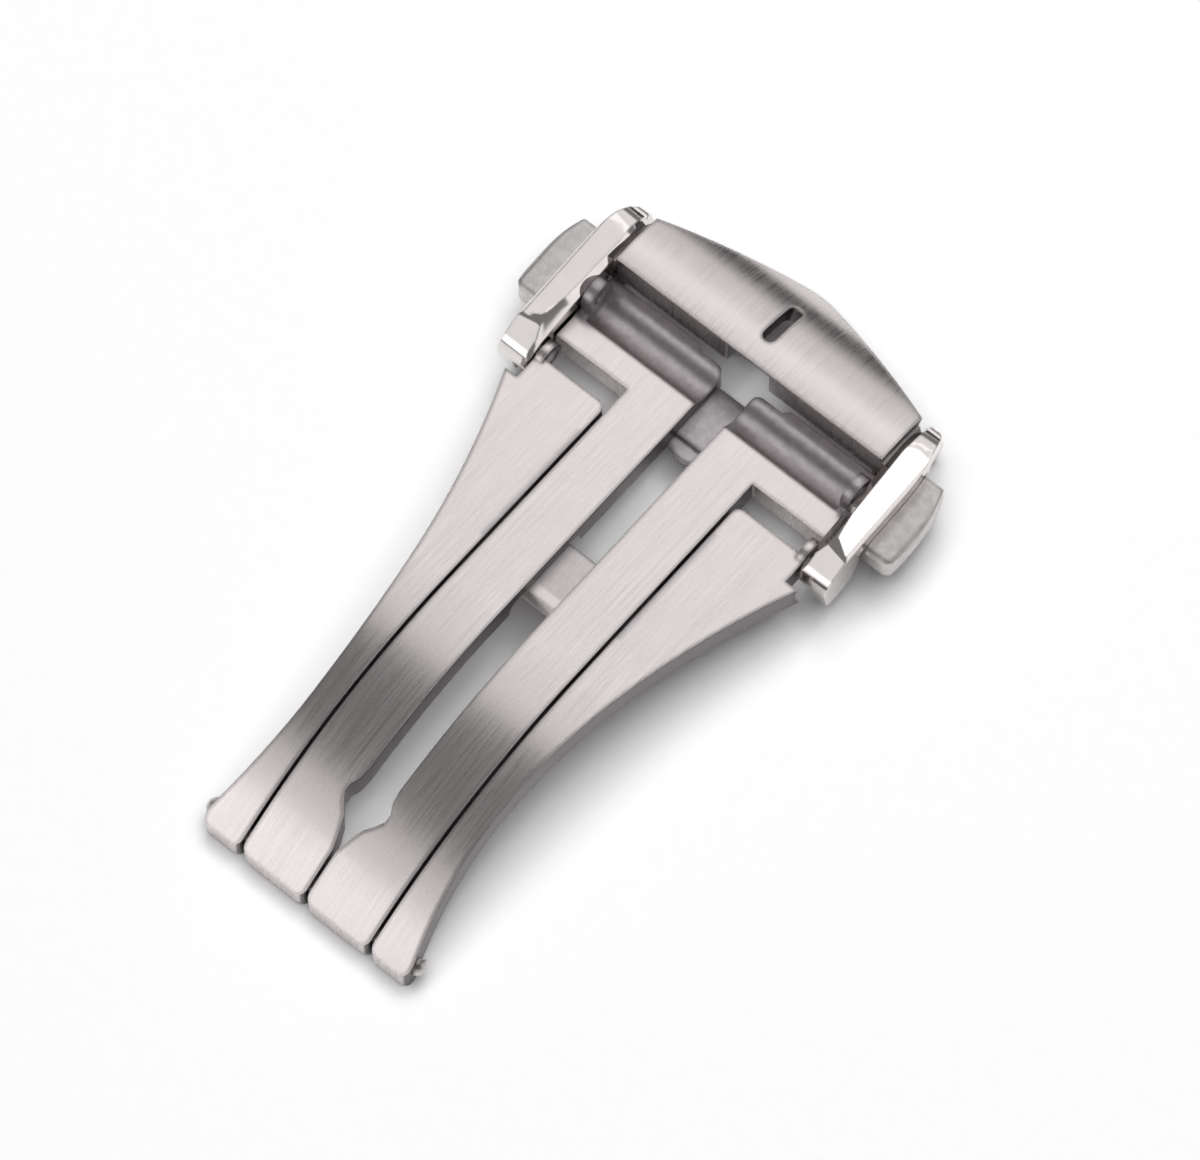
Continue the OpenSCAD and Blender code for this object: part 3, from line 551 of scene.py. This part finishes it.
def worked_copy(node, slot, material, edge, sharp=SHARP):
    """A copy of a CAD node: its loose triangles welded, flat ones joined into
    whole faces, and its sharp edges rounded by a bevel."""
    bm = bmesh.new()
    bm.from_mesh(NODES[node].data)
    bmesh.ops.scale(bm, vec=(1 / MM,) * 3, verts=bm.verts)
    bmesh.ops.remove_doubles(bm, verts=bm.verts, dist=WELD)
    bmesh.ops.dissolve_limit(bm, angle_limit=math.radians(FLAT), verts=bm.verts,
                             edges=bm.edges)
    bmesh.ops.triangulate(bm, faces=[face for face in bm.faces if len(face.verts) > 4])
    mesh = bpy.data.meshes.new(node + "_worked")
    bm.to_mesh(mesh)
    bm.free()
    for name in ("custom_normal", "sharp_face", "sharp_edge"):
        if name in mesh.attributes:
            mesh.attributes.remove(mesh.attributes[name])
    while mesh.uv_layers:
        mesh.uv_layers.remove(mesh.uv_layers[0])
    mesh.polygons.foreach_set("use_smooth", np.ones(len(mesh.polygons), dtype=bool))
    mesh.set_sharp_from_angle(angle=math.radians(sharp))
    mesh = rounded(mesh, edge / MM, sharp)
    mesh.name = node + "_worked"
    mesh.transform(Matrix.Scale(MM, 4))
    lay_brush_map(mesh)
    mesh.materials.clear()
    mesh.materials.append(material)
    piece = bpy.data.objects.new(node + "_worked", mesh)
    bpy.context.scene.collection.objects.link(piece)
    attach(piece, body_of(node))
    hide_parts(node)
    return piece


def shorten_with(piece):
    """Gives a spring a mesh of its own, and finds the X of its inner end, which nothing
    uses.
    """
    across = points_of(piece.data)[:, 0]
    inner_end = float(across[np.abs(across).argmin()])
    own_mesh(piece)


# ---------------------------------------------------------------- studio

SENSOR = 36
TABLE_HALF_WIDTH = 3.0
# The share of its tone that the table has where it only passes light on
TABLE_UNSEEN = 0.6

# Each lamp's name, direction from the clasp, width, height and radiance. The
# radiance of those over the table is a share of the table light.
TABLE_LAMP_DISTANCE = 0.9
TABLE_LAMPS = (
    ("Table lamp", (0, 0.05, 1), 0.9, 0.9, 0.67),
    ("Table key", (-0.12, 0.40, 0.90), 0.45, 0.45, 0.8),
)
STEEL_LAMP_DISTANCE = 0.5
STEEL_LAMPS = (
    ("Far softbox", (-0.22, 0.66, 0.71), 0.5, 0.66, 0.75),
    ("Far strip", (-0.22, 0.65, 0.72), 0.5, 0.16, 0.4),
    ("Near softbox", (-0.38, -0.78, 0.54), 0.26, 0.44, 0.75),
    ("Near strip", (-0.38, -0.85, 0.42), 0.26, 0.30, 0.8),
    ("Low near softbox", (0.40, -0.88, 0.26), 0.34, 0.12, 0.7),
    ("Right softbox", (0.10, 0.30, 0.95), 0.08, 0.12, 1.2),
    ("Low right softbox", (0.93, 0.28, 0.22), 0.4, 0.10, 0.9),
    ("Side softbox", (0.62, 0.52, 0.58), 0.22, 0.36, 0.5),
)

# The dark card past the roof's far side: its middle, its size and its grey
FLAG_MIDDLE = (-0.005, CAD_BOX[1][1] + 0.012, 0.0022)
FLAG_WIDTH, FLAG_HEIGHT = 0.09, 0.004
FLAG_GREY = 0.15


def soft_lamp(name, toward, distance, width, height, radiance, for_table=False):
    """A rectangular lamp that stands in a direction from the clasp and faces
    it. Its watts are its radiance times pi times its area. It lights either
    the matt table or the steel, which sees it as a mirror does."""
    lamp = bpy.data.lights.new(name, "AREA")
    lamp.shape = "RECTANGLE"
    lamp.size, lamp.size_y = width, height
    lamp.energy = radiance * math.pi * width * height
    holder = bpy.data.objects.new(name, lamp)
    bpy.context.scene.collection.objects.link(holder)
    direction = np.array(toward, dtype=float)
    direction /= np.linalg.norm(direction)
    side = np.cross((0, 0, 1), direction)
    side /= np.linalg.norm(side)
    up = np.cross(direction, side)
    turn = Matrix(np.column_stack([side, up, direction]).tolist()).to_4x4()
    holder.matrix_world = Matrix.Translation(direction * distance) @ turn
    holder.visible_glossy = not for_table
    holder.visible_diffuse = for_table


def stage_card(name, corners):
    """A flat piece of the stage with four corners, and its new material."""
    mesh = bpy.data.meshes.new(name)
    mesh.from_pydata(corners.tolist(), [], [(0, 1, 2, 3)])
    card = bpy.data.objects.new(name, mesh)
    bpy.context.scene.collection.objects.link(card)
    material = bpy.data.materials.new(name)
    material.use_nodes = True
    mesh.materials.append(material)
    return card, material


def set_camera(scene, studio):
    lens = bpy.data.cameras.new("Camera")
    lens.sensor_width = SENSOR
    lens.lens = studio.camera_lens
    lens.clip_start, lens.clip_end = 0.01, 10
    camera = bpy.data.objects.new("Camera", lens)
    camera.location = studio.camera_place
    camera.rotation_euler = studio.camera_turn
    scene.collection.objects.link(camera)
    scene.camera = camera


def lay_table(studio):
    """A matt table that looks lighter than it lights the clasp: its colour is
    lifted where the camera or the steel sees it with no matt bounce before."""
    grid = np.array([(-1, -1, 0), (1, -1, 0), (1, 1, 0), (-1, 1, 0)], dtype=float)
    _, paper = stage_card("Table", grid * TABLE_HALF_WIDTH)
    w = Wiring(paper.node_tree)
    w.tree.nodes.remove(w.tree.nodes["Principled BSDF"])
    shader = w.add("BsdfDiffuse")
    w.join(shader.outputs[0], w.tree.nodes["Material Output"].inputs["Surface"])
    fleck = w.noise(w.add("TexCoord").outputs["Object"], FLECKS_PER_METRE, detail=2.0)
    tone = tuple(studio.table_tone)
    plain = w.blend(w.spread(fleck, *FLECK_SPAN), tint(tone, 0.985), tone)
    ray = w.add("LightPath").outputs
    mirrored = w.larger(ray["Is Glossy Ray"], ray["Is Transmission Ray"])
    seen = w.larger(ray["Is Camera Ray"], mirrored)
    direct = w.rest_of(ray["Diffuse Depth"], clamp=True)
    lift = w.between(w.times(seen, direct), TABLE_UNSEEN, studio.table_lift)
    w.join(w.scaled(plain, lift), shader.inputs["Color"])


def surround(scene, studio):
    """White behind everything, and an even, weaker light for the steel."""
    world = bpy.data.worlds.new("Studio")
    scene.world = world
    world.use_nodes = True
    w = Wiring(world.node_tree)
    background = w.tree.nodes["Background"]
    strength = w.larger(w.add("LightPath").outputs["Is Camera Ray"], studio.fill)
    w.join(strength, background.inputs["Strength"])
    background.inputs["Color"].default_value = (1, 1, 1, 1)
    world.cycles_visibility.diffuse = False


def raise_flag():
    """A dark card that stands on the table out of the picture, which only
    the steel sees, so that the roof's far edge stays dark."""
    corners = np.array([(-1, 0, -1), (1, 0, -1), (1, 0, 1), (-1, 0, 1)])
    corners = corners * (FLAG_WIDTH / 2, 1, FLAG_HEIGHT / 2) + FLAG_MIDDLE
    card, cloth = stage_card("Far flag", corners)
    card.visible_camera = card.visible_diffuse = card.visible_shadow = False
    shader = cloth.node_tree.nodes["Principled BSDF"]
    shader.inputs["Base Color"].default_value = (*grey(FLAG_GREY), 1)


# ---------------------------------------------------------------- steps

class ClaspOperator(bpy.types.Operator):
    """What the steps that work the steel share"""
    bl_options = {"REGISTER", "UNDO"}

    @property
    def steel(self):
        return bpy.context.scene.clasp_steel

    def work(self, nodes, slot, material, edge=1.0, **options):
        """Worked copies of some nodes; edge is a share of the worked edge."""
        width = self.steel.worked_edge * edge
        return [worked_copy(node, slot, material, width, **options) for node in nodes]


class CLASP_OT_blades(ClaspOperator):
    """Make the brushed outer and inner blades, with the cast latch head.
    The outer blade has points too close together for its edges to be rounded"""
    bl_idname = "clasp.blades"
    bl_label = "Blades"

    def execute(self, context):
        for node, name, cast_and_shade_places, edge in (
                ("outer_blade", "Brushed outer blade", shaded_cross_bar, 0),
                ("inner_blade", "Brushed inner blade", latch_head, 1)):
            material = brushed_steel(name, self.steel.blade_tone, BLADE_ROUGHNESS,
                                     self.steel, cast_and_shade_places)
            self.work([node], "brushed_blade", material, edge)
        return {"FINISHED"}


class CLASP_OT_roof(ClaspOperator):
    """Make the brushed roof over the strap, with its plain slot"""
    bl_idname = "clasp.roof"
    bl_label = "Roof"

    def execute(self, context):
        material = brushed_steel("Brushed roof", self.steel.roof_tone, ROOF_ROUGHNESS,
                                 self.steel)
        self.work(["roof"], "brushed_roof", material, edge=0.8)
        return {"FINISHED"}


class CLASP_OT_cheeks(ClaspOperator):
    """Make the two polished cheeks"""
    bl_idname = "clasp.cheeks"
    bl_label = "Cheeks"

    def execute(self, context):
        material = polished_steel("Polished cheek", self.steel.cheek_tone)
        self.work(["cheek_left", "cheek_right"], "polished_cheek", material)
        return {"FINISHED"}


class CLASP_OT_buttons(ClaspOperator):
    """Make the blasted push buttons and their hooks"""
    bl_idname = "clasp.buttons"
    bl_label = "Push buttons"

    def execute(self, context):
        satin = grained_steel("Blasted button", self.steel.button_tone,
                              size=80 * MICRON, rough=(0.3, 0.44), strength=0.5)
        self.work(["button_left", "button_right"], "blasted_button", satin, edge=0.7)
        turned = turned_steel(self.steel)
        self.work(["hook_left", "hook_right"], "turned_pin", turned, edge=0.4)
        return {"FINISHED"}


class CLASP_OT_pins(ClaspOperator):
    """Make the fold pin, its cap, the pivot pins and the guide pins"""
    bl_idname = "clasp.pins"
    bl_label = "Pins"

    def execute(self, context):
        pins = [node for node in NODES if "pin" in node]
        self.work(pins, "turned_pin", turned_steel(self.steel), edge=0.4, sharp=40)
        return {"FINISHED"}


class CLASP_OT_springs(ClaspOperator):
    """Make the coil springs, each with a mesh of its own"""
    bl_idname = "clasp.springs"
    bl_label = "Springs"

    def execute(self, context):
        wire = grained_steel("Spring wire", self.steel.pin_tone,
                             size=50 * MICRON, rough=(0.2, 0.3), strength=0.2)
        for side in ("left", "right"):
            springs = [node for node in NODES if node.startswith("spring_" + side)]
            for piece in self.work(springs, "spring_wire", wire, edge=0, sharp=60):
                shorten_with(piece)
        return {"FINISHED"}


class CLASP_OT_studio(bpy.types.Operator):
    """Set the camera, the pale table and the soft lamps"""
    bl_idname = "clasp.studio"
    bl_label = "Studio"

    def execute(self, context):
        scene, studio = context.scene, context.scene.clasp_studio
        set_camera(scene, studio)
        lay_table(studio)
        surround(scene, studio)
        raise_flag()
        for name, toward, width, height, share in TABLE_LAMPS:
            soft_lamp(name, toward, TABLE_LAMP_DISTANCE, width, height,
                      studio.table_light * share, for_table=True)
        for name, toward, width, height, radiance in STEEL_LAMPS:
            soft_lamp(name, toward, STEEL_LAMP_DISTANCE, width, height, radiance)
        scene.view_settings.view_transform = "Standard"
        return {"FINISHED"}


class CLASP_PT_panel(bpy.types.Panel):
    """Sizes, tones and the steps that dress the clasp"""
    bl_idname = "CLASP_PT_panel"
    bl_label = "Folding clasp"
    bl_space_type = "VIEW_3D"
    bl_region_type = "UI"
    bl_category = "Clasp"

    def draw(self, context):
        layout = self.layout
        for settings in (context.scene.clasp_steel, context.scene.clasp_studio):
            for key in settings.__annotations__:
                layout.prop(settings, key)
        for step in STEPS:
            layout.operator(step.bl_idname)


STEPS = (CLASP_OT_blades, CLASP_OT_roof, CLASP_OT_cheeks, CLASP_OT_buttons, CLASP_OT_pins,
         CLASP_OT_springs, CLASP_OT_studio)
CLASSES = (SteelSettings, StudioSettings) + STEPS + (CLASP_PT_panel,)


def register():
    for cls in CLASSES:
        bpy.utils.register_class(cls)
    bpy.types.Scene.clasp_steel = PointerProperty(type=SteelSettings)
    bpy.types.Scene.clasp_studio = PointerProperty(type=StudioSettings)


def unregister():
    del bpy.types.Scene.clasp_studio
    del bpy.types.Scene.clasp_steel
    for cls in reversed(CLASSES):
        bpy.utils.unregister_class(cls)


def main():
    register()
    brushing_group()
    grain_group()
    for step in STEPS:
        space, name = step.bl_idname.split(".")
        getattr(getattr(bpy.ops, space), name)()


if __name__ == "__main__":
    main()
